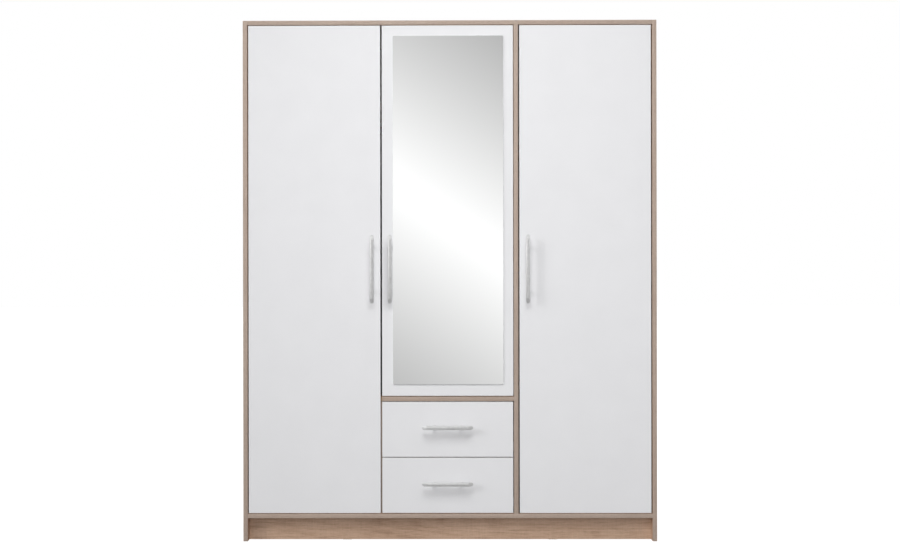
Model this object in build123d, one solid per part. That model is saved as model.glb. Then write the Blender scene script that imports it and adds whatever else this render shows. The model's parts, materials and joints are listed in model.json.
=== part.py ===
from build123d import *
import math
import os

# A three-door wardrobe with a mirror door and two drawers, in millimetres.
# X is the width, the doors face -Y, Z is up.  The origin is on the floor, in the
# middle of the box that holds the whole wardrobe, handles included.

# Driving dimensions of the case
WIDTH = 1500
HEIGHT = 1890
CASE_DEPTH = 520
BOARD = 16
HARDBOARD = 3
STRIP = 1
GLIDE = 1
PLINTH_TOP = 85
PLINTH_SETBACK = 40
FLUSH = 2                  # door faces lie this far behind the case's front edges

# Where the inner boards stand, measured from the left edge and from the floor
TALL_PARTITION = 982.5
SHORT_PARTITION = 492
DRAWER_ROOF = 509.5
HAT_SHELF = 1580
LINEN_SHELVES = {"lower": 532, "middle": 979, "upper": 1427}
SHELF_SETBACK = 47
SHELF_PLAY = 0.75

# Door and drawer fronts: the gaps all round
DOOR_GAP = 2
LEFT_GAP = 3.5             # left door to left side
MIDDLE_GAP = 6             # left door to mirror door, over the short partition
RIGHT_GAP = 4              # right door to right side
DRAWER_GAP = 3
DRAWER_SPLIT = 305.3       # height of the gap between the two drawer fronts
DOOR_THICKNESS = 16

# Mirror
MIRROR_WIDTH = 400
MIRROR_BOTTOM = 570
MIRROR_TOP = 1834
MIRROR_GLASS = 4
MIRROR_CORNER = 4
MIRROR_MARGIN = 40         # from the mirror door's free edge

# Bar handles
BAR_RADIUS = 7
BAR_STAND_OFF = 31
BAR_BEVEL = 19             # how much shorter the bar is at its front than at its back
DOOR_BAR = 249
DOOR_BAR_POSTS = 160
DRAWER_BAR = 185
DRAWER_BAR_POSTS = 96
DOOR_BAR_HEIGHT = 988
DOOR_BAR_EDGE = 29.5       # bar axis to the door's free edge
DRAWER_BAR_RISE = 8        # bar axis above the middle of the drawer front
POST_RADIUS = 4.5

# Concealed hinges.  Their plan is drawn from the door's outer front corner:
# u runs along the door, v runs back into the case.
TALL_DOOR_HINGES = (198, 724, 1251, 1777)
MIRROR_DOOR_HINGES = (623, 1200, 1777)
ARM_PIVOT = (16, 22)
CUP_PIVOT = (33, 9)
ELBOW = (42.5, 39)
HINGE_PIN = 1.5
PIN_PLAY = 0.05
LINK_RADIUS = 3.2
LINK_LAYER = (0.4, 6)      # each link fills this height above or below mid-height
EAR_LAYER = (6.5, 8)
CUP_CENTRE = 24
CUP_RADIUS = 17.5
CUP_WALL = 0.8
CUP_DEPTH = 11.5
CUP_FLANGE = 1
CUP_PIN_REACH = 13.6       # half the length of the pin across the cup
POCKET_PLAY = 0.1

# Drawers
DRAWER_SIDE = 12
DRAWER_HEIGHT = 150
DRAWER_LENGTH = 450
RUNNER_SPACE = 12.5
RUNNER_SHEET = 1
ROLLER_RADIUS = 10.5
ROLLER_PIN = 2.5
ROLLER_INSET = 15          # rear rollers stand this far in from the drawer's back
LOWER_DRAWER_BASE = 125
UPPER_DRAWER_BASE = 330
GROOVE_HEIGHT = 10
GROOVE_DEPTH = 6

# Fittings
CAM_RADIUS = 7.5
CAM_DEPTH = 12.5
CAM_SETBACK = 34
BOLT_RADIUS = 3
DOWEL_RADIUS = 4
DOWEL_LENGTH = 30
PLAY = 0.1
NAIL_SPACING = 165
RAIL_HEIGHT = 1520
RAIL_SECTION = (15, 30)
BRACKET_X = 650
BRACKET_HOLE = 2.75
BRACKET_DROP = 26

# Worked-out planes of the case
LEFT = -WIDTH / 2
RIGHT = WIDTH / 2
FRONT = -(CASE_DEPTH - FLUSH - BAR_STAND_OFF - BAR_RADIUS) / 2 - FLUSH
BACK = FRONT + CASE_DEPTH
PANEL_BACK = BACK - STRIP
BOARD_BACK = PANEL_BACK - HARDBOARD
FACE = FRONT + FLUSH
FACE_BACK = FACE + DOOR_THICKNESS
IN_LEFT = LEFT + BOARD
IN_RIGHT = RIGHT - BOARD
FLOOR = PLINTH_TOP + BOARD
CEILING = HEIGHT - BOARD
TALL_X = (LEFT + TALL_PARTITION, LEFT + TALL_PARTITION + BOARD)
SHORT_X = (LEFT + SHORT_PARTITION, LEFT + SHORT_PARTITION + BOARD)
SHORT_FRONT = FACE_BACK + DOOR_GAP
ROOF_TOP = DRAWER_ROOF + BOARD
CASE_Y = (FRONT, BOARD_BACK)

# Worked-out door and drawer fronts
MIDDLE_SEAM = sum(SHORT_X) / 2 + 1.5
LEFT_DOOR_X = (IN_LEFT + LEFT_GAP, MIDDLE_SEAM - MIDDLE_GAP / 2)
MIRROR_DOOR_X = (MIDDLE_SEAM + MIDDLE_GAP / 2, TALL_X[0] - DOOR_GAP)
RIGHT_DOOR_X = (TALL_X[1] + RIGHT_GAP + 0.5, IN_RIGHT - RIGHT_GAP)
TALL_DOOR_Z = (FLOOR + DOOR_GAP, CEILING - DOOR_GAP)
MIRROR_DOOR_Z = (ROOF_TOP + 2.5, CEILING - DOOR_GAP)
LOWER_FRONT_Z = (FLOOR + 2.5, DRAWER_SPLIT - DRAWER_GAP / 2)
UPPER_FRONT_Z = (DRAWER_SPLIT + DRAWER_GAP / 2, DRAWER_ROOF - 2.5)

solids = {}
cutters = {}


def add(node, *shapes):
    """Put separate solids in a node."""
    solids.setdefault(node, []).extend(shapes)


def cut(node, *shapes):
    """Remember tools that are cut from every solid of a node at the end."""
    cutters.setdefault(node, []).extend(shapes)


def block(x, y, z):
    """A box between two values on each axis."""
    size = (x[1] - x[0], y[1] - y[0], z[1] - z[0])
    middle = (sum(x) / 2, sum(y) / 2, sum(z) / 2)
    return Pos(*middle) * Box(*size)


def peg(start, direction, radius, length):
    """A cylinder that starts at a point and runs along a direction."""
    plane = Plane(origin=start, z_dir=direction)
    return plane * Cylinder(radius, length, align=(Align.CENTER, Align.CENTER, Align.MIN))


def along(start, direction, distance):
    return tuple(s + d * distance for s, d in zip(start, direction))


def flat_screw(start, direction, radius, length, head_radius):
    """A countersunk screw whose flat head starts at a point."""
    plane = Plane(origin=start, z_dir=direction)
    bottom = (Align.CENTER, Align.CENTER, Align.MIN)
    head = plane * Cone(head_radius, radius, head_radius - radius, align=bottom)
    return head + peg(start, direction, radius, length)


def pan_screw(start, direction, radius, length, head_radius, head_height):
    """A screw whose head stands on the surface at a point."""
    base = along(start, direction, -head_height)
    return peg(base, direction, head_radius, head_height) + peg(start, direction, radius, length)


def cam_joint(board, panel, end, into_panel, cam_face):
    """A cam in a board draws a bolt that is screwed into the panel.

    end is the point in the middle of the board's thickness where the board meets the
    panel, and cam_face points out of the board's face that the cam is let into.
    """
    out = tuple(-d for d in into_panel)
    cam_centre = along(end, out, CAM_SETBACK)
    mouth = along(cam_centre, cam_face, BOARD / 2)
    down = tuple(-n for n in cam_face)
    cam = peg(mouth, down, CAM_RADIUS, CAM_DEPTH)
    cam -= peg(end, out, BOLT_RADIUS + 0.5, CAM_SETBACK)
    slot_plane = Plane(origin=mouth, z_dir=cam_face, x_dir=into_panel)
    cam -= slot_plane * Box(8, 1.5, 5)
    cam -= slot_plane * Box(1.5, 8, 5)
    bolt = peg(along(end, into_panel, 11), out, BOLT_RADIUS - 0.5, 11)
    bolt += peg(end, out, BOLT_RADIUS, CAM_SETBACK - 4)
    add("cam_fittings", cam, bolt)
    cut(board, peg(mouth, down, CAM_RADIUS + PLAY, CAM_DEPTH + PLAY))
    cut(board, peg(end, out, BOLT_RADIUS + 0.5, CAM_SETBACK))
    cut(panel, peg(end, into_panel, BOLT_RADIUS - 0.5 + PLAY, 11 + PLAY))


def dowel_joint(board, panel, end, into_panel):
    """A wooden dowel half in the board's end and the rest in the panel."""
    depth = 11
    start = along(end, into_panel, depth)
    out = tuple(-d for d in into_panel)
    add("wood_dowels", peg(start, out, DOWEL_RADIUS, DOWEL_LENGTH))
    cut(panel, peg(along(start, into_panel, PLAY), out, DOWEL_RADIUS + PLAY, depth + PLAY))
    cut(board, peg(end, out, DOWEL_RADIUS + PLAY, DOWEL_LENGTH - depth + PLAY))


def board_joint(board, panel, end, into_panel, cam_face, cams=(-190, 220)):
    """A row of fittings along Y: a cam near each end and a dowel beside each cam."""
    for y in cams:
        cam_joint(board, panel, (end[0], y, end[1]), into_panel, cam_face)
        dowel_y = y + math.copysign(40, -y)
        dowel_joint(board, panel, (end[0], dowel_y, end[1]), into_panel)


def build_case():
    """The boards that make the case, with the fittings that hold them."""
    upright = (GLIDE, HEIGHT)
    add("left_side_panel", block((LEFT, IN_LEFT), CASE_Y, upright))
    add("right_side_panel", block((IN_RIGHT, RIGHT), CASE_Y, upright))
    inside = (IN_LEFT, IN_RIGHT)
    add("top_panel", block(inside, CASE_Y, (CEILING, HEIGHT)))
    add("bottom_panel", block(inside, CASE_Y, (PLINTH_TOP, FLOOR)))
    add("tall_partition", block(TALL_X, CASE_Y, (FLOOR, CEILING)))
    add("short_partition", block(SHORT_X, (SHORT_FRONT, BOARD_BACK), (FLOOR, DRAWER_ROOF)))
    roof = block((SHORT_X[0], TALL_X[0]), CASE_Y, (DRAWER_ROOF, ROOF_TOP))
    notch = block((SHORT_X[0], MIRROR_DOOR_X[0]), (FRONT, SHORT_FRONT), (DRAWER_ROOF, ROOF_TOP))
    add("drawer_roof_board", roof - notch)
    plinth_y = FRONT + PLINTH_SETBACK
    rear_y = BOARD_BACK - PLINTH_SETBACK - BOARD
    add("front_plinth", block(inside, (plinth_y, plinth_y + BOARD), (GLIDE, PLINTH_TOP)))
    add("rear_plinth", block(inside, (rear_y, rear_y + BOARD), (GLIDE, PLINTH_TOP)))

    west, east, up, down = (-1, 0, 0), (1, 0, 0), (0, 0, 1), (0, 0, -1)
    top_z = HEIGHT - BOARD / 2
    bottom_z = FLOOR - BOARD / 2
    for panel, x, way in (("left_side_panel", IN_LEFT, west), ("right_side_panel", IN_RIGHT, east)):
        board_joint("top_panel", panel, (x, top_z), way, up)
        board_joint("bottom_panel", panel, (x, bottom_z), way, down)
        for plinth, y in (("front_plinth", plinth_y), ("rear_plinth", rear_y)):
            face = (0, 1, 0) if plinth == "front_plinth" else (0, -1, 0)
            end = (x, y + BOARD / 2, (GLIDE + PLINTH_TOP) / 2)
            cam_joint(plinth, panel, end, way, face)
    partitions = (("tall_partition", TALL_X, CEILING), ("short_partition", SHORT_X, DRAWER_ROOF))
    for partition, x, top in partitions:
        middle = sum(x) / 2
        above = "top_panel" if top == CEILING else "drawer_roof_board"
        board_joint(partition, above, (middle, top), up, east)
        board_joint(partition, "bottom_panel", (middle, FLOOR), down, east)
    board_joint("drawer_roof_board", "tall_partition", (TALL_X[0], ROOF_TOP - BOARD / 2), east, down)


def build_shelves():
    """The hat shelf, the loose linen shelves and the oval hanging rail."""
    shelf_y = (FRONT + SHELF_SETBACK, BOARD_BACK - 2)
    hat_z = (HAT_SHELF, HAT_SHELF + BOARD)
    add("hat_shelf", block((IN_LEFT, TALL_X[0]), shelf_y, hat_z))
    middle = sum(hat_z) / 2
    cams = (-140, 220)
    board_joint("hat_shelf", "left_side_panel", (IN_LEFT, middle), (-1, 0, 0), (0, 0, -1), cams)
    board_joint("hat_shelf", "tall_partition", (TALL_X[0], middle), (1, 0, 0), (0, 0, -1), cams)

    shelf_x = (TALL_X[1] + SHELF_PLAY, IN_RIGHT - SHELF_PLAY)
    pin_radius = 2.5
    for name, z in LINEN_SHELVES.items():
        add(f"{name}_linen_shelf", block(shelf_x, shelf_y, (z, z + BOARD)))
        for y in (-140, 220):
            for panel, x, way in (("tall_partition", TALL_X[1], 1), ("right_side_panel", IN_RIGHT, -1)):
                face = (x, y, z - pin_radius)
                pin = peg((x - 8 * way, y, z - pin_radius), (way, 0, 0), pin_radius, 17)
                pin += peg(face, (way, 0, 0), pin_radius + 1.5, 1) & block(
                    (x - 20, x + 20), (y - 9, y + 9), (z - 20, z))
                add("shelf_pins", pin)
                cut(panel, peg(face, (-way, 0, 0), pin_radius + PLAY, 8 + PLAY))

    rail_y = 20
    flange = 3
    side, tall = RAIL_SECTION

    def oval(grow, x, length):
        plane = Plane(origin=(x, rail_y, RAIL_HEIGHT), z_dir=(1, 0, 0), x_dir=(0, 1, 0))
        return extrude(plane * RectangleRounded(side + grow, tall + grow, (side + grow) / 2 - 0.01), length)

    rail_x = (IN_LEFT + flange + 0.2, TALL_X[0] - flange - 0.2)
    rail_length = rail_x[1] - rail_x[0]
    add("hanging_rail", oval(0, rail_x[0], rail_length) - oval(-2, rail_x[0], rail_length))
    for panel, x, way in (("left_side_panel", IN_LEFT, 1), ("tall_partition", TALL_X[0], -1)):
        plate_x = sorted((x, x + flange * way))
        cup_x = sorted((x, x + 14 * way))
        socket = block(plate_x, (rail_y - 10, rail_y + 10), (RAIL_HEIGHT - 31, RAIL_HEIGHT + 31))
        socket += oval(6, cup_x[0], 14)
        socket -= oval(0.6, cup_x[0] + (flange if way > 0 else 0), 14 - flange)
        for z in (RAIL_HEIGHT - 25, RAIL_HEIGHT + 25):
            head = (x + flange * way, rail_y, z)
            socket -= flat_screw(head, (-way, 0, 0), 1.75 + PLAY, 20, 3.5 + PLAY)
            fixing_screw(panel, head, (-way, 0, 0), flange, 1.75, 14, 3.5)
        add("rail_sockets", socket)


def fixing_screw(panel, head, way, sheet, radius, length, head_radius):
    """A countersunk screw through a fitting of a given thickness into a board."""
    add("fixing_screws", flat_screw(head, way, radius, length, head_radius))
    face = along(head, way, sheet)
    cut(panel, peg(face, way, radius + PLAY, length - sheet + PLAY))
    if head_radius - radius > sheet:
        sink = Plane(origin=head, z_dir=way)
        rim = head_radius + PLAY
        cut(panel, sink * Cone(rim, radius, rim - radius, align=(Align.CENTER, Align.CENTER, Align.MIN)))


def nail_row(panels, start, end):
    """Nails through the back into the edge of a board, evenly spaced along a line."""
    length = math.dist(start, end)
    count = max(2, round(length / NAIL_SPACING) + 1)
    for index in range(count):
        share = index / (count - 1)
        x = start[0] + (end[0] - start[0]) * share
        z = start[1] + (end[1] - start[1]) * share
        nail = peg((x, PANEL_BACK, z), (0, -1, 0), 0.8, 22)
        nail += peg((x, PANEL_BACK + 0.6, z), (0, -1, 0), 2.2, 0.6)
        add("back_panel_nails", nail)
        for node in panels:
            cut(node, peg((x, PANEL_BACK, z), (0, -1, 0), 0.8 + PLAY, 22 + PLAY))


def build_back():
    """Three hardboard backs, the strip that joins two of them, and their nails."""
    edge = 1
    sheet_y = (BOARD_BACK, PANEL_BACK)
    sheet_z = (PLINTH_TOP + edge, HEIGHT - edge)
    short_x = sum(SHORT_X) / 2
    tall_x = sum(TALL_X) / 2
    spans = {
        "left_back_panel": (LEFT + edge, short_x - edge),
        "middle_back_panel": (short_x + edge, tall_x - edge),
        "right_back_panel": (tall_x + edge, RIGHT - edge),
    }
    for name, span in spans.items():
        add(name, block(span, sheet_y, sheet_z))
        inner = (span[0] + 30, span[1] - 30)
        nail_row((name, "top_panel"), (inner[0], sheet_z[1] - 7), (inner[1], sheet_z[1] - 7))
        nail_row((name, "bottom_panel"), (inner[0], sheet_z[0] + 7), (inner[1], sheet_z[0] + 7))
    low, high = FLOOR + 20, CEILING - 20
    reach = 4.5
    nail_row(("left_back_panel", "left_side_panel"), (LEFT + 8, low), (LEFT + 8, high))
    nail_row(("right_back_panel", "right_side_panel"), (RIGHT - 8, low), (RIGHT - 8, high))
    nail_row(("middle_back_panel", "tall_partition"), (tall_x - reach, low), (tall_x - reach, high))
    nail_row(("right_back_panel", "tall_partition"), (tall_x + reach, low), (tall_x + reach, high))
    for name, side in (("left_back_panel", -reach), ("middle_back_panel", reach)):
        nail_row((name, "short_partition"), (short_x + side, low), (short_x + side, DRAWER_ROOF - 20))
    roof_z = DRAWER_ROOF + BOARD / 2
    nail_row(("middle_back_panel", "drawer_roof_board"), (short_x + 60, roof_z), (tall_x - 60, roof_z))

    strip_z = (ROOF_TOP + 1, CEILING - 1)
    strip = block((short_x - 7, short_x + 7), (BOARD_BACK - STRIP, BACK), strip_z)
    for x in ((short_x - 7, short_x - edge), (short_x + edge, short_x + 7)):
        strip -= block(x, sheet_y, strip_z)
    add("back_panel_strip", strip)


def build_feet_and_brackets():
    """Floor glides, and the angle brackets that a wall screw goes through."""
    for x in (LEFT + BOARD / 2, RIGHT - BOARD / 2):
        for y in (FRONT + 30, BOARD_BACK - 30):
            add("floor_glides", block((x - 7, x + 7), (y - 16, y + 16), (0, GLIDE)))
    for y in (FRONT + PLINTH_SETBACK, BOARD_BACK - PLINTH_SETBACK - BOARD):
        for x in (-WIDTH / 4, WIDTH / 4):
            add("floor_glides", block((x - 16, x + 16), (y + 1, y + BOARD - 1), (0, GLIDE)))

    sheet = 2
    for x in (-BRACKET_X, BRACKET_X):
        span = (x - 15, x + 15)
        bracket = block(span, (BOARD_BACK - 40, BOARD_BACK), (CEILING - sheet, CEILING))
        bracket += block(span, (BOARD_BACK - sheet, BOARD_BACK), (CEILING - 40, CEILING))
        wall_hole = (x, BOARD_BACK - sheet - 1, CEILING - BRACKET_DROP)
        bracket -= peg(wall_hole, (0, 1, 0), BRACKET_HOLE, 10)
        head = (x, BOARD_BACK - 22, CEILING - sheet)
        bracket -= flat_screw(head, (0, 0, 1), 1.75 + PLAY, 10, 3.5 + PLAY)
        add("wall_brackets", bracket)
        fixing_screw("top_panel", head, (0, 0, 1), sheet, 1.75, 14, 3.5)
        panel = "left_back_panel" if x < 0 else "right_back_panel"
        cut(panel, peg(wall_hole, (0, 1, 0), BRACKET_HOLE, 10))


def slot_solid(a, b, radius, z):
    """A bar with round ends between two points of the plan, between two heights."""
    length = math.dist(a, b)
    angle = math.degrees(math.atan2(b[1] - a[1], b[0] - a[0]))
    outline = Pos((a[0] + b[0]) / 2, (a[1] + b[1]) / 2) * Rot(0, 0, angle)
    outline = outline * SlotCenterToCenter(length, 2 * radius)
    return extrude(Plane.XY.offset(z[0]) * outline, z[1] - z[0])


def upright_pin(point, radius, half_length):
    return peg((point[0], point[1], -half_length), (0, 0, 1), radius, 2 * half_length)


def hinge_arm():
    """The arm that is fixed in the case, with its two ears and the pin they hold."""
    shoulder = (5, 40)
    arm = block((0, 9), (38, 80), (-EAR_LAYER[1], EAR_LAYER[1]))
    arm -= block((2, 10), (30, 50), (-EAR_LAYER[0], EAR_LAYER[0]))
    for z in (EAR_LAYER, (-EAR_LAYER[1], -EAR_LAYER[0])):
        arm += slot_solid(ARM_PIVOT, shoulder, 4, z)
    arm += upright_pin(ARM_PIVOT, HINGE_PIN, EAR_LAYER[1])
    arm -= peg((9.5, 72, 0), (-1, 0, 0), 2.6, 3)
    return arm


def hinge_plate(gap):
    """The plate between the arm and the board; gap is the door's gap to that board."""
    plate = block((-gap, 0), (48, 74), (-11, 11)) + block((-gap, 0), (54, 68), (-26, 26))
    for z in (-16, 16):
        plate -= flat_screw((0, 61, z), (-1, 0, 0), 2 + PLAY, 10, 3.8 + PLAY)
    return plate


def hinge_cup():
    """The cup let into the door, with its flange and the pin across it."""
    back = DOOR_THICKNESS
    cup = peg((CUP_CENTRE, back - CUP_DEPTH, 0), (0, 1, 0), CUP_RADIUS, CUP_DEPTH)
    flange_plane = Plane(origin=(CUP_CENTRE + 2, back, 0), z_dir=(0, 1, 0), x_dir=(1, 0, 0))
    cup += extrude(flange_plane * RectangleRounded(26, 62, 6), CUP_FLANGE)
    inner = CUP_RADIUS - CUP_WALL
    cup -= peg((CUP_CENTRE, back - CUP_DEPTH + CUP_WALL, 0), (0, 1, 0), inner, CUP_DEPTH + 5)
    for z in (-24, 24):
        cup -= peg((CUP_CENTRE + 6, back - 1, z), (0, 1, 0), 1.5 + PLAY, 5)
    return cup + upright_pin(CUP_PIVOT, HINGE_PIN, CUP_PIN_REACH)


def hinge_link(pivot, z):
    link = slot_solid(pivot, ELBOW, LINK_RADIUS, z)
    return link - upright_pin(pivot, HINGE_PIN + PIN_PLAY, 20)


def build_hinges(door, panel, pivot_x, hand, gap, heights):
    """All hinges of one door; hand is 1 when the door reaches +X from its pivot."""
    low_layer = (-LINK_LAYER[1], -LINK_LAYER[0])

    def place(shape, z):
        shape = shape if hand > 0 else mirror(shape, about=Plane.YZ)
        return Pos(pivot_x, FACE, z) * shape

    for z in heights:
        add("hinge_arms", place(hinge_arm(), z), place(hinge_plate(gap), z))
        add(f"{door}_hinge_cups", place(hinge_cup(), z))
        add(f"{door}_hinge_arm_links", place(hinge_link(ARM_PIVOT, low_layer), z))
        add(f"{door}_hinge_cup_links", place(hinge_link(CUP_PIVOT, LINK_LAYER), z))
        pocket = (CUP_CENTRE, DOOR_THICKNESS - CUP_DEPTH - POCKET_PLAY, 0)
        pocket = peg(pocket, (0, 1, 0), CUP_RADIUS + POCKET_PLAY, CUP_DEPTH + 5)
        cut(f"{door}_panel", place(pocket, z))
        for side in (-24, 24):
            seat = (CUP_CENTRE + 6, DOOR_THICKNESS + CUP_FLANGE, side)
            screw = pan_screw(seat, (0, -1, 0), 1.5, 11, 3, 1.4)
            add(f"{door}_hinge_cups", place(screw, z))
            cut(f"{door}_panel", place(peg(seat, (0, -1, 0), 1.5 + PLAY, 11 + PLAY), z))
        for side in (-16, 16):
            head = (pivot_x, FACE + 61, z + side)
            fixing_screw(panel, head, (-hand, 0, 0), gap, 2, 14, 3.8)


def bar_handle(length, pitch):
    """An upright bar handle, from the middle of its foot on the face of a front."""
    near = -BAR_STAND_OFF + BAR_RADIUS
    far = -BAR_STAND_OFF - BAR_RADIUS
    half = length / 2
    rod = peg((0, -BAR_STAND_OFF, -half), (0, 0, 1), BAR_RADIUS, length)
    outline = Polygon(
        (near, -half), (near, half), (far, half - BAR_BEVEL), (far, BAR_BEVEL - half), align=None)
    side_plane = Plane(origin=(-BAR_RADIUS - 1, 0, 0), z_dir=(1, 0, 0), x_dir=(0, 1, 0))
    pieces = [rod & extrude(side_plane * outline, 2 * BAR_RADIUS + 2)]
    for z in (-pitch / 2, pitch / 2):
        post = peg((0, 0, z), (0, -1, 0), POST_RADIUS, BAR_STAND_OFF) - rod
        post -= peg((0, 0, z), (0, -1, 0), 2 + PLAY, 12)
        screw = pan_screw((0, DOOR_THICKNESS, z), (0, -1, 0), 2, DOOR_THICKNESS + 11, 3.8, 2)
        pieces.extend((post, screw))
    return pieces


def fit_handle(node, front, x, z, length, pitch, level=False):
    """Put a handle on a front and drill the front for its two screws."""
    turn = Rot(0, 90, 0) if level else Rot(0, 0, 0)
    place = Pos(x, FACE, z) * turn
    add(node, *[place * piece for piece in bar_handle(length, pitch)])
    for offset in (-pitch / 2, pitch / 2):
        cut(front, place * peg((0, -1, offset), (0, 1, 0), 2.25, DOOR_THICKNESS + 2))


def build_doors():
    face_y = (FACE, FACE_BACK)
    add("left_door_panel", block(LEFT_DOOR_X, face_y, TALL_DOOR_Z))
    add("mirror_door_panel", block(MIRROR_DOOR_X, face_y, MIRROR_DOOR_Z))
    add("right_door_panel", block(RIGHT_DOOR_X, face_y, TALL_DOOR_Z))
    handle_x = {
        "left_door": LEFT_DOOR_X[1] - DOOR_BAR_EDGE,
        "mirror_door": MIRROR_DOOR_X[0] + DOOR_BAR_EDGE,
        "right_door": RIGHT_DOOR_X[0] + DOOR_BAR_EDGE,
    }
    for door, x in handle_x.items():
        fit_handle(f"{door}_handle", f"{door}_panel", x, DOOR_BAR_HEIGHT, DOOR_BAR, DOOR_BAR_POSTS)
    build_hinges("left_door", "left_side_panel", LEFT_DOOR_X[0], 1, LEFT_GAP, TALL_DOOR_HINGES)
    build_hinges("mirror_door", "tall_partition", MIRROR_DOOR_X[1], -1, DOOR_GAP, MIRROR_DOOR_HINGES)
    build_hinges("right_door", "right_side_panel", RIGHT_DOOR_X[1], -1, RIGHT_GAP, TALL_DOOR_HINGES)

    left = MIRROR_DOOR_X[0] + MIRROR_MARGIN
    middle = (left + MIRROR_WIDTH / 2, FACE, (MIRROR_BOTTOM + MIRROR_TOP) / 2)
    glass_plane = Plane(origin=middle, z_dir=(0, -1, 0), x_dir=(1, 0, 0))
    outline = RectangleRounded(MIRROR_WIDTH, MIRROR_TOP - MIRROR_BOTTOM, MIRROR_CORNER)
    add("mirror_glass", extrude(glass_plane * outline, MIRROR_GLASS))


def build_drawer(name, front_z, base):
    """One drawer: a front, a box, and its two roller runners."""
    face_x = MIRROR_DOOR_X[0], MIRROR_DOOR_X[1] - 1
    box_x = (SHORT_X[1] + RUNNER_SPACE, TALL_X[0] - RUNNER_SPACE)
    inner_x = (box_x[0] + DRAWER_SIDE, box_x[1] - DRAWER_SIDE)
    box_y = (FACE_BACK, FACE_BACK + DRAWER_LENGTH)
    groove_z = (base + GROOVE_HEIGHT, base + GROOVE_HEIGHT + HARDBOARD)
    sheet_x = (inner_x[0] - GROOVE_DEPTH, inner_x[1] + GROOVE_DEPTH)
    sheet_y = (FACE_BACK - GROOVE_DEPTH, box_y[1])

    add(f"{name}_drawer_front", block(face_x, (FACE, FACE_BACK), front_z))
    for x in ((box_x[0], inner_x[0]), (inner_x[1], box_x[1])):
        add(f"{name}_drawer_sides", block(x, box_y, (base, base + DRAWER_HEIGHT)))
    back_z = (groove_z[1] + PLAY, base + DRAWER_HEIGHT - 10)
    add(f"{name}_drawer_back", block(inner_x, (box_y[1] - DRAWER_SIDE, box_y[1]), back_z))
    add(f"{name}_drawer_bottom", block(sheet_x, sheet_y, groove_z))
    groove = block(
        (sheet_x[0] - PLAY, sheet_x[1] + PLAY),
        (sheet_y[0] - PLAY, sheet_y[1] + 1),
        (groove_z[0] - PLAY, groove_z[1] + PLAY))
    cut(f"{name}_drawer_front", groove)
    cut(f"{name}_drawer_sides", groove)

    handle_z = sum(front_z) / 2 + DRAWER_BAR_RISE
    fit_handle(
        f"{name}_drawer_handle", f"{name}_drawer_front",
        sum(face_x) / 2, handle_z, DRAWER_BAR, DRAWER_BAR_POSTS, level=True)

    for side in (1, -1):
        wall = SHORT_X[1] if side > 0 else TALL_X[0]
        panel = "short_partition" if side > 0 else "tall_partition"
        build_runner(name, wall, side, panel, base, box_y)


def build_runner(name, wall, side, panel, base, box_y):
    """One pair of runner profiles; side is 1 when the drawer lies at +X of the wall."""
    sheet = RUNNER_SHEET
    low = base - sheet
    rail_z = (low, low + 28)
    rail_y = (box_y[0] + 6, box_y[1] + 6)
    flange_z = low + 2 * ROLLER_RADIUS + 1.8

    def span(a, b):
        return sorted((wall + a * side, wall + b * side))

    rail = block(span(0, sheet), rail_y, rail_z)
    rail += block(span(0, 9.5), rail_y, (rail_z[0], rail_z[0] + sheet))
    rail += block(span(0, 9.5), rail_y, (rail_z[1] - sheet, rail_z[1]))
    front_pin = (wall, rail_y[0] + 13, low + 1.5 + ROLLER_RADIUS)
    rail += peg(front_pin, (side, 0, 0), ROLLER_PIN, 9.5)
    for y in (rail_y[0] + 60, rail_y[0] + 220, rail_y[1] - 60):
        head = (wall + sheet * side, y, low + 14)
        way = (-side, 0, 0)
        rail -= flat_screw(head, way, 1.6 + PLAY, 10, 2.6 + PLAY)
        fixing_screw(panel, head, way, sheet, 1.6, 14, 2.6)
    add("cabinet_runners", rail)

    web = (RUNNER_SPACE - sheet, RUNNER_SPACE)
    profile = block(span(*web), box_y, (low, flange_z + sheet))
    profile += block(span(web[0], RUNNER_SPACE + 11), box_y, (low, base))
    profile += block(span(2.2, web[1]), box_y, (flange_z, flange_z + sheet))
    rear_pin = (wall + RUNNER_SPACE * side, box_y[1] - ROLLER_INSET, low + 1.3 + ROLLER_RADIUS)
    profile += peg(rear_pin, (-side, 0, 0), ROLLER_PIN, 9.5)
    add(f"{name}_drawer_runners", profile)

    for end, pin, start in (("front", front_pin, 1.5), ("rear", rear_pin, 3)):
        centre = (span(start, start + 7)[0], pin[1], pin[2])
        wheel = peg(centre, (1, 0, 0), ROLLER_RADIUS, 7)
        wheel -= peg(centre, (1, 0, 0), ROLLER_PIN + PIN_PLAY, 7)
        add(f"{name}_{end}_rollers", wheel)


def export_all():
    """Cut the holes and write one file for each node."""
    os.makedirs("parts", exist_ok=True)
    for name, shapes in solids.items():
        pieces = []
        for shape in shapes:
            box = shape.bounding_box()
            near = [tool for tool in cutters.get(name, []) if touches(box, tool.bounding_box())]
            pieces.extend((shape - near if near else shape).solids())
        node = pieces[0] if len(pieces) == 1 else Compound(children=pieces)
        node.label = name
        export_step(node, f"parts/{name}.step")


def touches(a, b):
    """Whether two bounding boxes share any space."""
    return all(
        getattr(a.min, axis) <= getattr(b.max, axis) and getattr(b.min, axis) <= getattr(a.max, axis)
        for axis in ("X", "Y", "Z"))


build_case()
build_shelves()
build_back()
build_feet_and_brackets()
build_doors()
build_drawer("lower", LOWER_FRONT_Z, LOWER_DRAWER_BASE)
build_drawer("upper", UPPER_FRONT_Z, UPPER_DRAWER_BASE)
export_all()
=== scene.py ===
import json
import math
import bmesh
import bpy
from mathutils import Matrix, Vector


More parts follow.
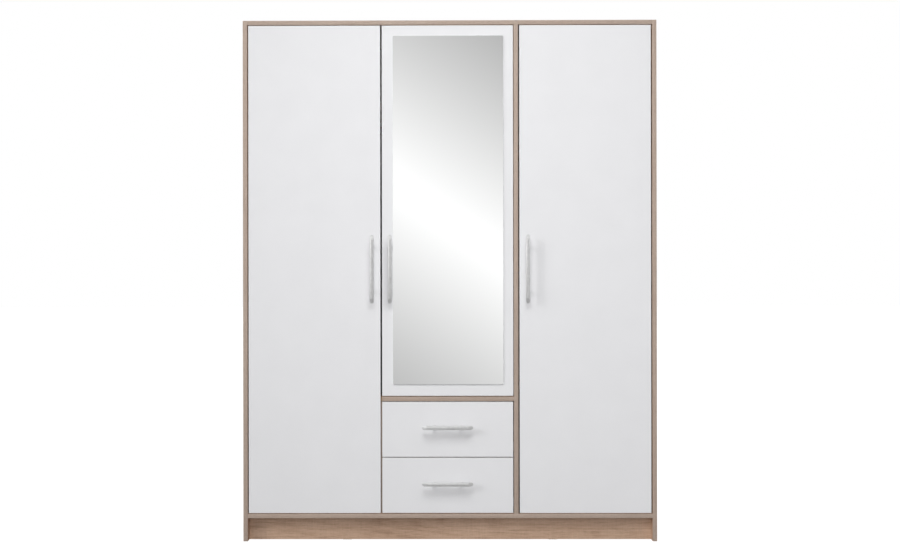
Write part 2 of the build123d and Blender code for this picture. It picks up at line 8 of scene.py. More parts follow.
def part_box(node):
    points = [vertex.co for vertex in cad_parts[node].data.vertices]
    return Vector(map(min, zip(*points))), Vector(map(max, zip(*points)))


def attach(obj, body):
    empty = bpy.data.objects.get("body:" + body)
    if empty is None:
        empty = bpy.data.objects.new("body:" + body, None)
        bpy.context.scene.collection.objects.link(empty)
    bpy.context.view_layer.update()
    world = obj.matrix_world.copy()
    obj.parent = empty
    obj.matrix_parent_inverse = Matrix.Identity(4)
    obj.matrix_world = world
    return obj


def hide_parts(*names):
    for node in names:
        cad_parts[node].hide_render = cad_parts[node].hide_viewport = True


# The looks of a wardrobe whose boards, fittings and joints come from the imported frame.
# Every size is in metres.  X is the width, the doors face -Y and Z is up.

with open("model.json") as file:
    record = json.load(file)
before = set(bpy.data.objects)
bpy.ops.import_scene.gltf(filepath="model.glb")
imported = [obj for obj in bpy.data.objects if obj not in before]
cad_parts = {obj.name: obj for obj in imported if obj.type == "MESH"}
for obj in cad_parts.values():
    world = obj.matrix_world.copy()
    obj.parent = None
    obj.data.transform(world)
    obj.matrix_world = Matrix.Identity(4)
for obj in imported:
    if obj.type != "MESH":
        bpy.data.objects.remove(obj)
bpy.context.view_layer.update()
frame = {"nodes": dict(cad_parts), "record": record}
NODES = frame["nodes"]
BODY_OF = {n: b for b, members in frame["record"]["behaviour"]["bodies"].items() for n in members}
MM = 0.001
X, Y, Z = 0, 1, 2
QUARTER_TURN = math.pi / 2


# ---------------------------------------------------------------- materials

def srgb(red, green, blue):
    """A colour given as 0 to 255 display values, as linear RGBA."""
    def linear(value):
        value /= 255
        return value / 12.92 if value <= 0.04045 else ((value + 0.055) / 1.055) ** 2.4
    return (linear(red), linear(green), linear(blue), 1.0)


PURE_WHITE = (1.0, 1.0, 1.0, 1.0)


class Nodes:
    """A node tree that is built by short calls."""

    def __init__(self, owner):
        owner.use_nodes = True
        self.tree = owner.node_tree

    def set(self, node, socket, value):
        if isinstance(value, bpy.types.NodeSocket):
            self.tree.links.new(value, node.inputs[socket])
        else:
            node.inputs[socket].default_value = value

    def node(self, kind, inputs, **settings):
        made = self.tree.nodes.new("ShaderNode" + kind)
        for name, value in settings.items():
            setattr(made, name, value)
        for socket, value in inputs.items():
            self.set(made, socket, value)
        return made

    def axes(self, kind="Object"):
        """The X, Y and Z of a kind of texture coordinate."""
        coords = self.node("TexCoord", {}).outputs[kind]
        return self.node("SeparateXYZ", {"Vector": coords}).outputs

    def position(self, order=(X, Y, Z)):
        """Object coordinates with their axes in the given order."""
        parts = self.axes()
        made = self.node("CombineXYZ", {i: parts[axis] for i, axis in enumerate(order)})
        return made.outputs["Vector"]

    def stretch(self, vector, *factors):
        made = self.node("VectorMath", {0: vector, 1: factors}, operation="MULTIPLY")
        return made.outputs["Vector"]

    def noise(self, vector, scale=1.0, detail=2.0, roughness=0.5, distortion=0.0):
        made = self.node("TexNoise", {
            "Vector": vector, "Scale": scale, "Detail": detail,
            "Roughness": roughness, "Distortion": distortion})
        return made.outputs["Fac"]

    def math(self, operation, a, b=0.0, c=0.0):
        return self.node("Math", {0: a, 1: b, 2: c}, operation=operation).outputs[0]

    def ramp(self, value, *stops):
        """A colour ramp; each stop is a position and a colour or a grey value."""
        made = self.node("ValToRGB", {"Fac": value})
        elements = made.color_ramp.elements
        while len(elements) < len(stops):
            elements.new(0.5)
        for element, (place, colour) in zip(elements, stops):
            element.position = place
            element.color = colour if isinstance(colour, tuple) else (colour,) * 3 + (1.0,)
        return made.outputs["Color"]

    def span(self, value, low, high):
        """A 0 to 1 value mapped to a range."""
        return self.node("MapRange", {"Value": value, 3: low, 4: high}).outputs[0]

    def mix(self, share, a, b, blend="MIX"):
        made = self.node("MixRGB", {"Fac": share, "Color1": a, "Color2": b}, blend_type=blend)
        return made.outputs["Color"]


class Shader(Nodes):
    """A material with one Principled surface."""

    def __init__(self, name, **sockets):
        self.material = bpy.data.materials.new(name)
        super().__init__(self.material)
        self.bsdf = self.tree.nodes["Principled BSDF"]
        for socket, value in sockets.items():
            self.set(self.bsdf, socket.replace("_", " "), value)

    def bump(self, height, strength, distance):
        made = self.node("Bump", {"Height": height, "Strength": strength, "Distance": distance})
        self.set(self.bsdf, "Normal", made.outputs["Normal"])

    def finish(self, colour=None, roughness=None):
        if colour is not None:
            self.set(self.bsdf, "Base Color", colour)
        if roughness is not None:
            self.set(self.bsdf, "Roughness", roughness)
        return self.material


def oak(name, along, light, middle, dark, contrast=1.0):
    """Printed light oak, its grain along one axis: growth lines, flecks, pores and saw marks."""
    s = Shader(name)
    across = [axis for axis in (X, Y, Z) if axis != along]
    p = s.position((along, *across))
    wander = s.noise(s.stretch(p, 1.1, 4, 4), detail=2.0)
    field = s.noise(s.stretch(p, 0.42, 6.5, 6.5), detail=1.5, roughness=0.4, distortion=0.35)
    lines = s.math("MULTIPLY_ADD", field, 46.0, s.math("MULTIPLY", wander, 8.0))
    rings = s.math("POWER", s.math("PINGPONG", lines, 1.0), 2.2)
    fibres = s.noise(s.stretch(p, 14, 420, 420), detail=5.0, roughness=0.7)
    flecks = s.noise(s.stretch(p, 16, 150, 150), detail=3.0, roughness=0.7)
    patches = s.noise(s.stretch(p, 1.6, 5, 5), detail=2.0)
    pores = s.noise(s.stretch(p, 60, 1000, 1000), detail=1.5)
    saw = s.noise(s.stretch(p, 260, 24, 24), detail=3.0)
    sawn = s.noise(s.stretch(p, 3.2, 9, 9), detail=1.0)
    tone = 0.5 - 0.97 * contrast
    marks = s.math("MULTIPLY", saw, sawn)
    layers = ((rings, -0.13), (fibres, 0.90), (flecks, 0.75), (patches, 0.18), (marks, 0.56))
    for layer, amount in layers:
        tone = s.math("MULTIPLY_ADD", layer, amount * contrast, tone)
    colour = s.ramp(tone, (0.14, dark), (0.5, middle), (0.86, light))
    specks = s.ramp(pores, (0.56, 1.0), (0.70, 0.70))
    colour = s.mix(0.8, colour, specks, "MULTIPLY")
    s.bump(s.math("MULTIPLY_ADD", pores, -0.7, fibres), 0.3, 0.0002)
    return s.finish(colour, s.span(fibres, 0.55, 0.40))


def chipboard():
    """The raw core of a board, seen at edges with no band."""
    s = Shader("chipboard", Roughness=0.9)
    p = s.position()
    chips = s.node("TexVoronoi", {"Vector": s.stretch(p, 260, 420, 300), "Randomness": 1.0})
    grain = s.noise(s.stretch(p, 900, 900, 900), detail=3.0)
    shade = s.node("SeparateColor", {"Color": chips.outputs["Color"]}).outputs[0]
    tone = s.math("MULTIPLY_ADD", grain, 0.5, s.math("MULTIPLY", shade, 0.5))
    dark, middle, light = srgb(138, 108, 78), srgb(186, 155, 116), srgb(222, 200, 166)
    colour = s.ramp(tone, (0.15, dark), (0.5, middle), (0.85, light))
    s.bump(tone, 0.6, 0.0004)
    return s.finish(colour)


def melamine(name, low, high, rough=(0.34, 0.44)):
    """A smooth plastic-faced board: a fine peel and a very faint mottle."""
    s = Shader(name)
    p = s.position()
    mottle = s.noise(s.stretch(p, 9, 9, 9), detail=3.0)
    peel = s.noise(s.stretch(p, 850, 850, 850), detail=2.0)
    colour = s.ramp(mottle, (0.3, low), (0.7, high))
    s.bump(peel, 0.12, 0.00008)
    return s.finish(colour, s.span(peel, *rough))


def metal(name, colour, rough, along=None, streak=0.25, coarse=1.0):
    """Plated metal, brushed along an axis or finely blasted where no axis is given."""
    s = Shader(name, Metallic=1.0)
    order = (X, Y, Z) if along is None else (along, *[a for a in (X, Y, Z) if a != along])
    p = s.position(order)
    fine = (1600, 1600, 1600) if along is None else (30, 2600, 2600)
    brush = s.noise(s.stretch(p, *fine), scale=coarse, detail=2.0)
    cloud = s.noise(s.stretch(p, 60, 60, 60), detail=2.0)
    dark = tuple(c * 0.86 for c in colour[:3]) + (1.0,)
    tint = s.ramp(cloud, (0.25, dark), (0.75, colour))
    level = s.math("MULTIPLY_ADD", brush, streak, s.math("MULTIPLY", cloud, 0.06))
    s.bump(brush, 0.10, 0.00004)
    return s.finish(tint, s.math("ADD", level, rough - streak / 2))


def plastic(name, colour, rough):
    """Moulded plastic with a fine texture."""
    s = Shader(name, Roughness=rough)
    p = s.position()
    grain = s.noise(s.stretch(p, 1200, 1200, 1200), detail=2.0)
    shade = s.noise(s.stretch(p, 40, 40, 40), detail=2.0)
    dark = tuple(c * 0.9 for c in colour[:3]) + (1.0,)
    s.bump(grain, 0.15, 0.0001)
    return s.finish(s.ramp(shade, (0.3, dark), (0.7, colour)))


def hardboard():
    """Lacquered thin board: pale, with the fibre clumps showing faintly."""
    s = Shader("hardboard")
    p = s.position()
    clumps = s.noise(s.stretch(p, 130, 130, 130), detail=5.0, roughness=0.7)
    wash = s.noise(s.stretch(p, 3, 3, 3), detail=2.0)
    tone = s.math("MULTIPLY_ADD", clumps, 0.7, s.math("MULTIPLY", wash, 0.3))
    colour = s.ramp(tone, (0.3, srgb(206, 202, 194)), (0.7, srgb(226, 223, 216)))
    s.bump(clumps, 0.3, 0.0003)
    return s.finish(colour, s.span(clumps, 0.5, 0.65))


def beech():
    """The bare wood of the dowels."""
    s = Shader("beech_dowel", Roughness=0.7)
    p = s.position()
    flecks = s.noise(s.stretch(p, 300, 300, 60), detail=3.0)
    return s.finish(s.ramp(flecks, (0.3, srgb(184, 146, 104)), (0.7, srgb(219, 187, 146))))


def silvering():
    """The mirror's reflecting face."""
    s = Shader("mirror_face", Metallic=1.0, Roughness=0.0)
    haze = s.noise(s.stretch(s.position(), 2, 2, 2), detail=1.0)
    low, high = (0.955, 0.96, 0.958, 1.0), (0.965, 0.968, 0.966, 1.0)
    return s.finish(s.ramp(haze, (0.0, low), (1.0, high)))


def glass_edge():
    """The polished edge of float glass, which looks pale green."""
    s = Shader("mirror_edge", Roughness=0.08, IOR=1.5)
    depth = s.noise(s.stretch(s.position(), 90, 90, 14), detail=2.0)
    s.set(s.bsdf, "Coat Weight", 1.0)
    return s.finish(s.ramp(depth, (0.3, srgb(208, 220, 215)), (0.7, srgb(230, 238, 235))))


OAK_TONES = (srgb(218, 187, 163), srgb(197, 164, 139), srgb(156, 123, 99))
BAND_TONES = (srgb(195, 177, 164), srgb(182, 163, 149), srgb(163, 141, 126))
BAND_CONTRAST = 0.6
AXES = {X: "x", Y: "y", Z: "z"}
OAK = {a: oak(f"oak_{t}", a, *OAK_TONES) for a, t in AXES.items()}
OAK_BAND = {a: oak(f"oak_band_{t}", a, *BAND_TONES, BAND_CONTRAST) for a, t in AXES.items()}
WHITE = melamine("white_melamine", srgb(238, 238, 240), srgb(240, 240, 242))
WHITE_BAND = melamine("white_band", srgb(243, 243, 244), srgb(245, 245, 246), (0.28, 0.34))
DRAWER_WHITE = melamine("drawer_melamine", srgb(228, 228, 226), srgb(233, 233, 231))
CHIPBOARD = chipboard()
NICKEL = {a: metal(f"satin_nickel_{t}", (0.87, 0.87, 0.87, 1.0), 0.33, a) for a, t in AXES.items()}
PLATED = metal("hinge_nickel", (0.74, 0.74, 0.73, 1.0), 0.26)
ZINC = metal("zinc_plate", (0.66, 0.68, 0.70, 1.0), 0.36)
CHROME = metal("rail_chrome", (0.78, 0.78, 0.79, 1.0), 0.14, X, 0.08)
ENAMEL = plastic("runner_enamel", srgb(232, 232, 228), 0.35)
ROLLER = plastic("roller_plastic", srgb(222, 221, 214), 0.45)
STRIP = plastic("strip_plastic", srgb(232, 230, 224), 0.4)
GLIDE = plastic("glide_plastic", srgb(92, 92, 90), 0.55)
HARDBOARD = hardboard()
BEECH = beech()
SILVER = silvering()
EDGE_GLASS = glass_edge()
MIRROR_BACK = plastic("mirror_back_paint", srgb(120, 122, 122), 0.6)


# ---------------------------------------------------------------- mesh helpers

def new_object(name, mesh):
    made = bpy.data.objects.new(name, mesh)
    bpy.context.scene.collection.objects.link(made)
    return made


def object_from(name, bm, materials):
    mesh = bpy.data.meshes.new(name)
    bm.to_mesh(mesh)
    bm.free()
    for material in materials:
        mesh.materials.append(material)
    return new_object(name, mesh)


def bake(obj):
    """Replace an object's mesh with the result of its modifiers."""
    graph = bpy.context.evaluated_depsgraph_get()
    graph.update()
    mesh = bpy.data.meshes.new_from_object(obj.evaluated_get(graph), depsgraph=graph)
    obj.modifiers.clear()
    obj.data = mesh


def shade(obj, angle=35.0):
    """Smooth shading that keeps edges sharper than an angle."""
    obj.data.polygons.foreach_set("use_smooth", [True] * len(obj.data.polygons))
    obj.data.set_sharp_from_angle(angle=math.radians(angle))


def join(target, *others):
    """Add other objects' meshes to a target, whose material list they share."""
    bm = bmesh.new()
    for obj in (target, *others):
        bm.from_mesh(obj.data)
    bm.to_mesh(target.data)
    bm.free()
    for obj in others:
        bpy.data.objects.remove(obj)


def box_into(bm, low, high, paint):
    """Add a closed box; paint(axis, sign) gives each face's material index."""
    corners = {}
    for i in (0, 1):
        for j in (0, 1):
            for k in (0, 1):
                point = ((low, high)[i][X], (low, high)[j][Y], (low, high)[k][Z])
                corners[i, j, k] = bm.verts.new(point)
    for axis in (X, Y, Z):
        for side in (0, 1):
            ring = []
            for a, b in ((0, 0), (1, 0), (1, 1), (0, 1)):
                key = [a, b]
                key.insert(axis, side)
                ring.append(corners[tuple(key)])
            if (side == 0) != (axis == Y):
                ring.reverse()
            bm.faces.new(ring).material_index = paint(axis, 1 if side else -1)


def rounded(obj, width, segments=3, weighted=False):
    """Bevel the edges sharper than the modifier's angle, or those with a bevel weight."""
    bevel = obj.modifiers.new("round", "BEVEL")
    bevel.width = width
    bevel.segments = segments
    bevel.limit_method = "WEIGHT" if weighted else "ANGLE"
    bevel.material = -1
    bake(obj)


def carve(obj, cutters, operation="DIFFERENCE"):
    """Cut solids out of an object, or join them to it."""
    for cutter in cutters:
        step = obj.modifiers.new("carve", "BOOLEAN")
        step.operation = operation
        step.object = cutter
        step.solver = "EXACT"
    bake(obj)
    for cutter in cutters:
        bpy.data.objects.remove(cutter)


def disc(name, centre, axis, radius, length, paint=0, segments=48):
    """A closed cylinder about a centre."""
    bm = bmesh.new()
    turns = {
        X: Matrix.Rotation(QUARTER_TURN, 4, "Y"), Y: Matrix.Rotation(QUARTER_TURN, 4, "X"),
        Z: Matrix()}
    bmesh.ops.create_cone(
        bm, cap_ends=True, segments=segments, radius1=radius, radius2=radius, depth=length,
        matrix=Matrix.Translation(centre) @ turns[axis])
    for face in bm.faces:
        face.material_index = paint
    return object_from(name, bm, ())


def islands(node):
    """The boxes of a node's separate solids, in the order of their low corners."""
    bm = bmesh.new()
    bm.from_mesh(NODES[node].data)
    bmesh.ops.remove_doubles(bm, verts=bm.verts, dist=1e-6)
    boxes = []
    left = set(bm.verts)
    while left:
        stack = [left.pop()]
        low, high = stack[0].co.copy(), stack[0].co.copy()
        while stack:
            vert = stack.pop()
            low = Vector(map(min, low, vert.co))
            high = Vector(map(max, high, vert.co))
            for edge in vert.link_edges:
                other = edge.other_vert(vert)
                if other in left:
                    left.remove(other)
                    stack.append(other)
        boxes.append((low, high))
    bm.free()
    return sorted(boxes, key=lambda box: [round(value, 5) for value in box[0]])


def stands_for(piece, node):
    """A new piece takes a CAD node's place and rides on its body."""
    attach(piece, BODY_OF[node])
    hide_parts(node)


# ---------------------------------------------------------------- boards

OAK_BAND_THICKNESS = 0.6 * MM
WHITE_BAND_THICKNESS = 1.0 * MM
SEAM = 0.10 * MM
CORE_PAINT, RAW_PAINT = 0, 1
CAM_POCKET_RADIUS, CAM_POCKET_EXTRA = 7.6 * MM, 0.3 * MM
CAM_BOXES = [
    (low, high) for low, high in islands("cam_fittings")
    if 12 * MM < min(high - low) < 13 * MM and max(high - low) < 16 * MM]


def band_strip(bm, low, high, axis, sign, paint):
    """One edge band, rounder along its outer face than where it meets the board."""
    before = set(bm.edges)
    box_into(bm, low, high, lambda *_: paint)
    layers = bm.edges.layers.float
    weight = layers.get("bevel_weight_edge") or layers.new("bevel_weight_edge")
    outer = high[axis] if sign > 0 else low[axis]
    for edge in set(bm.edges) - before:
        at_outside = all(abs(v.co[axis] - outer) < 1e-7 for v in edge.verts)
        edge[weight] = 1.0 if at_outside else 0.15


def board(node, oak_faced, banded, cutters=(), front_from=None):
    """A board in place of its CAD node: a core with decor faces and a strip on each banded edge.

    banded lists (axis, sign) of the edges that have a band.  front_from starts the
    front band further along X, where a corner is cut away.
    """
    low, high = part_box(node)
    size = high - low
    thin = min((X, Y, Z), key=lambda a: size[a])
    plane = sorted((a for a in (X, Y, Z) if a != thin), key=lambda a: -size[a])
    grain = plane[0]
    band = OAK_BAND_THICKNESS if oak_faced else WHITE_BAND_THICKNESS
    core_low, core_high = low.copy(), high.copy()
    for axis, sign in banded:
        if sign > 0:
            core_high[axis] -= band
        else:
            core_low[axis] += band

    bm = bmesh.new()
    box_into(bm, core_low, core_high, lambda axis, _: CORE_PAINT if axis == thin else RAW_PAINT)
    face = OAK[grain] if oak_faced else WHITE
    bands = {a: (OAK_BAND[a] if oak_faced else WHITE_BAND) for a in (X, Y, Z)}
    materials = [face, CHIPBOARD, bands[X], bands[Y], bands[Z]]
    core = object_from(f"{node}_board", bm, materials)
    rounded(core, SEAM, 1)
    pockets = list(cutters)
    for cam_low, cam_high in CAM_BOXES:
        middle = (cam_low + cam_high) / 2
        if all(low[a] - MM < middle[a] < high[a] + MM for a in (X, Y, Z)):
            span = cam_high - cam_low
            axis = min((X, Y, Z), key=lambda a: span[a])
            depth = span[axis] + CAM_POCKET_EXTRA
            pockets.append(disc("cutter", middle, axis, CAM_POCKET_RADIUS, depth, RAW_PAINT))
    if pockets:
        carve(core, pockets)

    bm = bmesh.new()
    for axis, sign in banded:
        run = next(a for a in plane if a != axis)
        strip_low, strip_high = low.copy(), high.copy()
        if run != grain:
            strip_low[run], strip_high[run] = core_low[run], core_high[run]
        if front_from is not None:
            strip_low[X] = front_from
        if sign > 0:
            strip_low[axis] = core_high[axis]
        else:
            strip_high[axis] = core_low[axis]
        band_strip(bm, strip_low, strip_high, axis, sign, 2 + run)
    if banded:
        strips = object_from("strips", bm, materials)
        rounded(strips, band * 0.85, 3, weighted=True)
        join(core, strips)
    shade(core, 25)
    stands_for(core, node)
    return core


FRONT, REAR = (Y, -1), (Y, 1)
UP, DOWN = (Z, 1), (Z, -1)
ALL_ROUND = ((X, -1), (X, 1), UP, DOWN)


def make_case():
    """The oak boards: sides, top and bottom, partitions, shelves, plinths and the drawer roof."""
    for side in ("left", "right"):
        board(f"{side}_side_panel", True, (FRONT, UP))
    for node in ("top_panel", "bottom_panel", "tall_partition", "short_partition", "hat_shelf"):
        board(node, True, (FRONT,))
    for level in ("lower", "middle", "upper"):
        board(f"{level}_linen_shelf", True, (FRONT,))
    for plinth in ("front_plinth", "rear_plinth"):
        board(plinth, True, (DOWN,))
    roof_low, roof_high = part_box("drawer_roof_board")
    door_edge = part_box("mirror_door_panel")[0][X]
    bm = bmesh.new()
    notch_low = roof_low - Vector((MM, MM, MM))
    notch_high = Vector((door_edge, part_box("short_partition")[0][Y], roof_high[Z] + MM))
    box_into(bm, notch_low, notch_high, lambda *_: RAW_PAINT)
    notch = object_from("notch", bm, ())
    board("drawer_roof_board", True, (FRONT,), (notch,), door_edge)


def cup_pockets(node):
    """Tools for the round pockets that the hinge cups sit in."""
    radius, behind, in_front = 17.6 * MM, 1.0 * MM, 0.2 * MM
    tools = []
    for low, high in islands(node):
        if (high - low)[Z] > 30 * MM:
            middle = (low + high) / 2
            middle[Y] += (behind - in_front) / 2
            depth = (high - low)[Y] + behind + in_front
            tools.append(disc("cutter", middle, Y, radius, depth, RAW_PAINT, 64))
    return tools


def make_fronts():
    """The white doors and drawer fronts."""
    for door in ("left_door", "mirror_door", "right_door"):
        board(f"{door}_panel", False, ALL_ROUND, cup_pockets(f"{door}_hinge_cups"))
    for drawer in ("lower", "upper"):
        board(f"{drawer}_drawer_front", False, ALL_ROUND)


# ---------------------------------------------------------------- handles

BAR_RADIUS = 7 * MM
FACET = 19 * MM
POST_RADIUS = 4.5 * MM


def lathe(name, profile, segments=48):
    """A closed solid turned about Z from (radius, height) points that start and end on the axis."""
    bm = bmesh.new()
    verts = [bm.verts.new((r, 0, z)) for r, z in profile]
    edges = [bm.edges.new(pair) for pair in zip(verts, verts[1:])]
    bmesh.ops.spin(
        bm, geom=verts + edges, cent=(0, 0, 0), axis=(0, 0, 1), angle=math.tau,
        steps=segments, use_merge=True)
    bmesh.ops.remove_doubles(bm, verts=bm.verts, dist=1e-7)
    bmesh.ops.recalc_face_normals(bm, faces=bm.faces)
    return object_from(name, bm, ())


def place(obj, matrix):
    """Move an object's mesh, so the object itself stays at the origin."""
    obj.data.transform(matrix)
    obj.data.update()


def slanted_bar(length):
    """A round bar along Z whose ends are cut on a slant that faces the front."""
    bm = bmesh.new()
    bmesh.ops.create_cone(
        bm, cap_ends=True, segments=64, radius1=BAR_RADIUS, radius2=BAR_RADIUS,
        depth=length + FACET)
    for sign in (1, -1):
        near = Vector((0, BAR_RADIUS, sign * length / 2))
        along = Vector((0, 2 * BAR_RADIUS, sign * FACET))
        normal = along.cross(Vector((sign, 0, 0))).normalized()
        if normal[Z] * sign < 0:
            normal.negate()
        geometry = bm.verts[:] + bm.edges[:] + bm.faces[:]
        cut = bmesh.ops.bisect_plane(
            bm, geom=geometry, plane_co=near, plane_no=normal, clear_outer=True)
        rim = [e for e in cut["geom_cut"] if isinstance(e, bmesh.types.BMEdge)]
        bmesh.ops.edgenet_fill(bm, edges=rim)
    bmesh.ops.recalc_face_normals(bm, faces=bm.faces)
    bar = object_from("bar", bm, ())
    rounded(bar, 0.35 * MM, 3)
    return bar


def make_handle(node, run):
    """A bar handle: the bar, two turned posts, and the screws behind the front."""
    boxes = islands(node)
    bar_box = max(boxes, key=lambda b: (b[1] - b[0])[run])
    length = (bar_box[1] - bar_box[0])[run]
    centre = (bar_box[0] + bar_box[1]) / 2
    turn = Matrix.Rotation(QUARTER_TURN, 4, "Y") if run == X else Matrix()
    bar = slanted_bar(length)
    bar.name = f"{node}_bar"
    place(bar, Matrix.Translation(centre) @ turn)

    posts, heads = [], []
    small = [b for b in boxes if (b[1] - b[0])[run] < 12 * MM]
    reach = min(b[0][Y] for b in small)
    for box in small:
        middle = (box[0] + box[1]) / 2
        if box[0][Y] < reach + 0.5 * MM:
            foot = box[1][Y]
            rise = foot - centre[Y]
            profile = (
                (0, 0), (5.6 * MM, 0), (5.8 * MM, 0.2 * MM), (5.8 * MM, 1.4 * MM),
                (5.5 * MM, 1.8 * MM), (POST_RADIUS, 2.1 * MM), (POST_RADIUS, rise), (0, rise))
            post = lathe("post", profile)
            forward = Matrix.Rotation(QUARTER_TURN, 4, "X")
            place(post, Matrix.Translation((middle[X], foot, middle[Z])) @ forward)
            posts.append(post)
        else:
            heads.append((middle[X], box[1][Y], middle[Z]))
    carve(bar, posts, "UNION")
    bar.data.materials.append(NICKEL[run])
    shade(bar, 30)
    stands_for(bar, node)
    for number, (x, y, z) in enumerate(heads):
        screw = pan_head(f"{node}_screw_{number + 1}")
        place(screw, Matrix.Translation((x, y, z)) @ Matrix.Rotation(-QUARTER_TURN, 4, "X"))
        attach(screw, BODY_OF[node])


def pan_head(name):
    """A screw with a domed head and a cross recess; its top is at the origin and faces +Z."""
    r, h = 3.8 * MM, 2 * MM
    profile = (
        (0, 0), (0.45 * r, -0.06 * h), (0.75 * r, -0.22 * h), (0.93 * r, -0.45 * h),
        (r, -0.75 * h), (r, -h),
        (2 * MM, -h), (2 * MM, -h - 24 * MM), (1.5 * MM, -h - 25 * MM), (0, -h - 25 * MM))
    screw = lathe(name, profile, 40)
    tools = []
    for a, b in ((1.9 * MM, 0.4 * MM), (0.4 * MM, 1.9 * MM)):
        bm = bmesh.new()
        box_into(bm, Vector((-a, -b, -1.3 * MM)), Vector((a, b, MM)), lambda *_: 0)
        tools.append(object_from("cross", bm, ()))
    carve(screw, tools)
    screw.data.materials.append(ZINC)
    shade(screw, 30)
    return screw


# ---------------------------------------------------------------- mirror

def make_mirror():
    """Float glass with a polished chamfer: a reflecting face, green edges, a painted back."""
    low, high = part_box("mirror_glass")
    corner, chamfer = 4 * MM, 0.8 * MM
    bm = bmesh.new()
    box_into(bm, low, high, lambda axis, sign: 1 if axis != Y else (0 if sign < 0 else 2))
    upright = [e for e in bm.edges if abs(e.verts[0].co[Y] - e.verts[1].co[Y]) > MM]
    bmesh.ops.bevel(bm, geom=upright, offset=corner, segments=8, profile=0.5, affect="EDGES")
    rim = [e for e in bm.edges if all(abs(v.co[Y] - low[Y]) < 1e-6 for v in e.verts)]
    rim = [e for e in rim if len({f.material_index for f in e.link_faces}) > 1]
    bmesh.ops.bevel(bm, geom=rim, offset=chamfer, segments=1, profile=0.5, affect="EDGES")
    for face in bm.faces:
        if abs(face.normal[Y]) < 0.9:
            face.material_index = 1
    mirror = object_from("mirror_pane", bm, (SILVER, EDGE_GLASS, MIRROR_BACK))
    stands_for(mirror, "mirror_glass")


# ---------------------------------------------------------------- carried CAD nodes

CARRIED = {
    PLATED: ("hinge_arms", "rail_sockets", *[
        f"{door}_hinge_{part}" for door in ("left_door", "mirror_door", "right_door")
        for part in ("cups", "arm_links", "cup_links")]),
    ZINC: ("cam_fittings", "fixing_screws", "back_panel_nails", "shelf_pins", "wall_brackets"),
    CHROME: ("hanging_rail",),
    ENAMEL: ("cabinet_runners", "lower_drawer_runners", "upper_drawer_runners"),
    ROLLER: (
        "lower_front_rollers", "lower_rear_rollers", "upper_front_rollers", "upper_rear_rollers"),
    STRIP: ("back_panel_strip",),
    GLIDE: ("floor_glides",),
    HARDBOARD: (
        "left_back_panel", "middle_back_panel", "right_back_panel",
        "lower_drawer_bottom", "upper_drawer_bottom"),
    BEECH: ("wood_dowels",),
    DRAWER_WHITE: (
        "lower_drawer_sides", "lower_drawer_back", "upper_drawer_sides", "upper_drawer_back"),
}


def dress_carried_nodes():
    """Give the nodes that keep their CAD mesh a material, and the plastic-faced ones soft edges."""
    for material, names in CARRIED.items():
        for name in names:
            materials = NODES[name].data.materials
            materials.clear()
            materials.append(material)
    for name in CARRIED[DRAWER_WHITE] + ("back_panel_strip", "floor_glides"):
        weld = NODES[name].modifiers.new("weld", "WELD")
        weld.merge_threshold = 1e-5
        edge = NODES[name].modifiers.new("edge", "BEVEL")
        edge.width = 0.3 * MM
        edge.segments = 2
        edge.limit_method = "ANGLE"


# ---------------------------------------------------------------- stage, light and camera

def plane(name, corners, material):
    """One flat stage piece."""
    mesh = bpy.data.meshes.new(name)
    mesh.from_pydata(corners, [], [tuple(range(len(corners)))])
    mesh.materials.append(material)
    made = new_object(name, mesh)
    return made


def make_floor():
    """A wide grey floor that looks white to the camera and shows faintly in reflections."""
    s = Shader("studio_floor", Roughness=0.8)
    speckle = s.noise(s.stretch(s.position(), 3, 3, 3), detail=2.0)
    paths = s.node("LightPath", {}).outputs
    seen_directly, seen_reflected = 0.92, 0.22
    level = s.math("MULTIPLY", paths["Is Glossy Ray"], seen_reflected)
    level = s.math("MULTIPLY_ADD", paths["Is Camera Ray"], seen_directly, level)
    s.set(s.bsdf, "Emission Color", PURE_WHITE)
    s.set(s.bsdf, "Emission Strength", level)
    s.finish(s.ramp(speckle, (0.3, srgb(128, 128, 128)), (0.7, srgb(132, 132, 132))))
    reach = 40.0
    corners = [(-reach, -reach, 0), (reach, -reach, 0), (reach, reach, 0), (-reach, reach, 0)]
    plane("studio_floor", corners, s.material)


def make_reflector():
    """A large card facing the doors, seen only in reflections, bright along a slanting line."""
    card_y = -5.7
    half_width, top = 7.0, 6.0
    slope = 0.68
    crest_height = 1.385
    peak, fall, lowest, highest = 1.049, 0.18, 0.73, 1.02
    display_power = 2.25
    s = Shader("reflector_card")
    s.tree.nodes.remove(s.bsdf)
    parts = s.axes()
    line = s.math("MULTIPLY_ADD", parts[X], -slope, crest_height)
    away = s.math("ABSOLUTE", s.math("SUBTRACT", parts[Z], line))
    level = s.math("MULTIPLY_ADD", away, -fall, peak)
    level = s.math("MAXIMUM", s.math("MINIMUM", level, highest), lowest)
    linear = s.math("POWER", level, display_power)
    glow = s.node("Emission", {"Color": PURE_WHITE, "Strength": linear})
    s.set(s.tree.nodes["Material Output"], "Surface", glow.outputs[0])
    corners = [
        (-half_width, card_y, 0), (half_width, card_y, 0),
        (half_width, card_y, top), (-half_width, card_y, top)]
    card = plane("reflector_card", corners, s.material)
    card.visible_camera = False
    card.visible_diffuse = False
    card.visible_shadow = False
    card.visible_transmission = False


def aim(obj, target):
    """Turn a light towards a point."""
    obj.rotation_euler = (Vector(target) - obj.location).to_track_quat("-Z", "Y").to_euler()


def softbox(name, place, target, width, height, power):
    """A rectangular light that reflections don't show."""
    light = bpy.data.lights.new(name, "AREA")
    light.shape = "RECTANGLE"
    light.size, light.size_y = width, height
    light.energy = power
    made = new_object(name, light)
    made.location = place
    aim(made, target)
    made.visible_glossy = False


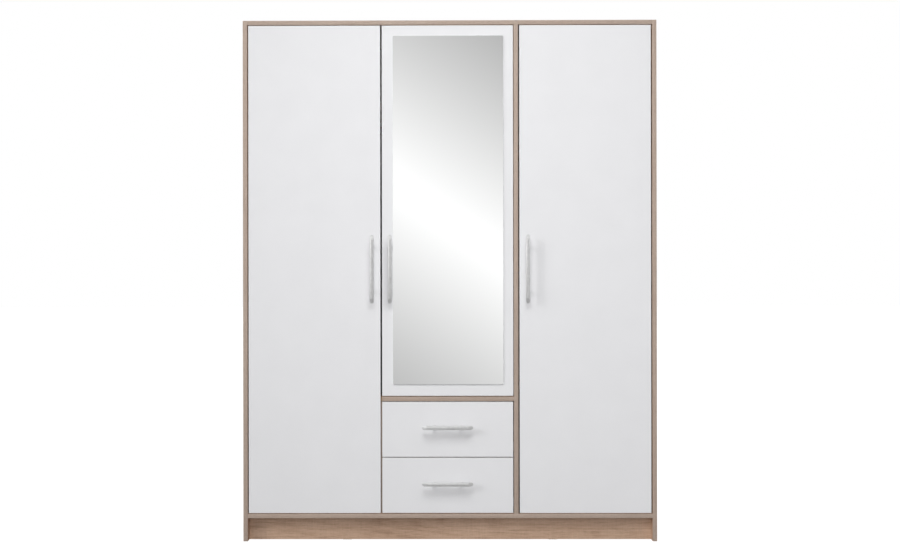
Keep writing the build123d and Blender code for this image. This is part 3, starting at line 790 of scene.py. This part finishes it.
def make_lights():
    """Soft light from above, in front, behind and the right, and a wide sun from the left."""
    softbox("overhead_softbox", (0.0, -2.6, 3.0), (0, -2.6, 0), 1.7, 1.9, 69)
    softbox("front_fill", (0.0, -6.0, 1.2), (0, 0, 0.8), 2.4, 1.6, 46)
    softbox("rear_softbox", (0.8, 4.6, 2.4), (0, 0, 0.9), 3.0, 2.0, 110)
    softbox("right_softbox", (5.5, 1.8, 2.2), (0.7, 0, 0.9), 3.0, 2.0, 80)

    sun = bpy.data.lights.new("left_light", "SUN")
    sun.energy = 0.94
    sun.angle = math.radians(21)
    ray = new_object("left_light", sun)
    ray.rotation_euler = Vector((1.6, 1.0, -0.64)).to_track_quat("-Z", "Y").to_euler()
    ray.visible_glossy = False


def make_world():
    """A white room: dim as a light, white to the camera, brighter on the left in reflections."""
    world = bpy.data.worlds.new("studio")
    bpy.context.scene.world = world
    light_level, camera_extra = 0.30, 0.70
    glossy_extra, glossy_left_extra = 0.55, 0.75
    n = Nodes(world)
    paths = n.node("LightPath", {}).outputs
    left = n.math("MAXIMUM", n.math("MULTIPLY", n.axes("Generated")[X], -1.0), 0.0)
    reflected = n.math("MULTIPLY_ADD", left, glossy_left_extra, glossy_extra)
    level = n.math("MULTIPLY_ADD", paths["Is Camera Ray"], camera_extra, light_level)
    level = n.math("MULTIPLY_ADD", paths["Is Glossy Ray"], reflected, level)
    background = n.tree.nodes["Background"]
    n.set(background, "Color", PURE_WHITE)
    n.set(background, "Strength", level)


def make_camera():
    """Nearly straight on, at mid height, a touch right of the middle."""
    distance, height, right = 4.70, 0.949, 0.0323
    turn, pitch, roll = math.radians(0.3805), math.radians(0.014), math.radians(-0.0864)
    camera = bpy.data.cameras.new("camera")
    camera.lens = 51.864
    made = new_object("camera", camera)
    case_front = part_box("left_side_panel")[0][Y]
    rotation = Matrix.Rotation(turn, 4, "Z") @ Matrix.Rotation(QUARTER_TURN + pitch, 4, "X")
    rotation = rotation @ Matrix.Rotation(roll, 4, "Z")
    made.matrix_world = Matrix.Translation((right, case_front - distance, height)) @ rotation
    bpy.context.scene.camera = made
    bpy.context.scene.view_settings.view_transform = "Standard"


make_case()
make_fronts()
for door in ("left_door", "mirror_door", "right_door"):
    make_handle(f"{door}_handle", Z)
for drawer in ("lower", "upper"):
    make_handle(f"{drawer}_drawer_handle", X)
make_mirror()
dress_carried_nodes()
make_floor()
make_reflector()
make_lights()
make_world()
make_camera()
